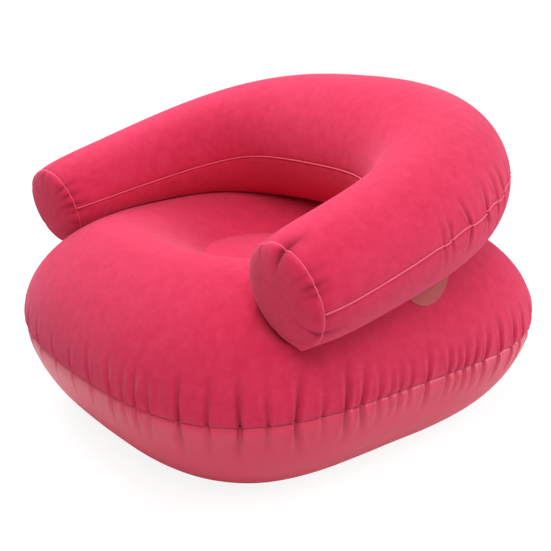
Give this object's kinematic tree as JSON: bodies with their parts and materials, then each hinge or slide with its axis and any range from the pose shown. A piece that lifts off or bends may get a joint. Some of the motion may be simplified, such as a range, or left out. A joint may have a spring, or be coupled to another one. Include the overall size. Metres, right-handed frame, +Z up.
{
  "type": "inflatable armchair",
  "caption": "Inflatable armchair: a domed flocked seat cushion with a dimple carries a bent tube that forms the backrest and both arms.",
  "frame": {"origin": "on the floor under the middle of the seat cushion", "axes": "+X to the sitter's left, +Y to the rear so that the sitter faces -Y, +Z up"},
  "size_m": [1.0516, 0.9994, 0.7004],
  "materials": {
    "flock": "velvety flock on PVC sheet",
    "gloss": "smooth semi-gloss PVC sheet",
    "weld": "satin welded PVC bead",
    "clear": "translucent beige PVC film",
    "inner": "bare PVC sheet inside the seat",
    "valve": "soft moulded PVC"
  },
  "bodies": {
    "chair": {"seat_top_sheet": "flock", "seat_bottom_sheet": "gloss", "seat_rim_weld": "weld", "tether_column": "inner", "backrest_upper_sheet": "flock", "backrest_lower_sheet": "flock", "backrest_outer_weld": "weld", "backrest_inner_weld": "weld", "left_arm_cap": "flock", "right_arm_cap": "flock", "left_cap_weld": "weld", "right_cap_weld": "weld", "left_joint_patch": "clear", "right_joint_patch": "clear", "rear_joint_patch": "clear", "seat_valve_base": "valve", "backrest_valve_base": "valve"},
    "seat_plug": {"seat_valve_plug": "valve"},
    "seat_stopper": {"seat_valve_stopper": "valve", "seat_valve_strap": "valve"},
    "seat_flap": {"seat_valve_flap": "valve"},
    "backrest_plug": {"backrest_valve_plug": "valve"},
    "backrest_stopper": {"backrest_valve_stopper": "valve", "backrest_valve_strap": "valve"},
    "backrest_flap": {"backrest_valve_flap": "valve"}
  },
  "joints": [
    {"name": "seat_plug_pull", "type": "slide", "parent": "chair", "child": "seat_plug", "axis": [0.0079, 0.9288, -0.3704], "range_m": [0, 0.022]},
    {"name": "seat_stopper_pull", "type": "slide", "parent": "seat_plug", "child": "seat_stopper", "axis": [0.0079, 0.9288, -0.3704], "range_m": [0, 0.016]},
    {"name": "seat_flap_hinge", "type": "hinge", "parent": "seat_plug", "child": "seat_flap", "pos_m": [-0.0984, 0.47115, 0.1199], "axis": [0.0031, 0.3704, 0.9289], "range_deg": [0, 60], "stiffness_Nm_per_rad": 0.0005},
    {"name": "backrest_plug_pull", "type": "slide", "parent": "chair", "child": "backrest_plug", "axis": [0.1561, 0.895, -0.4178], "range_m": [0, 0.022]},
    {"name": "backrest_stopper_pull", "type": "slide", "parent": "backrest_plug", "child": "backrest_stopper", "axis": [0.1561, 0.895, -0.4178], "range_m": [0, 0.016]},
    {"name": "backrest_flap_hinge", "type": "hinge", "parent": "backrest_plug", "child": "backrest_flap", "pos_m": [0.16176, 0.3873, 0.4831], "axis": [0.0718, 0.4116, 0.9085], "range_deg": [0, 60], "stiffness_Nm_per_rad": 0.0005}
  ]
}
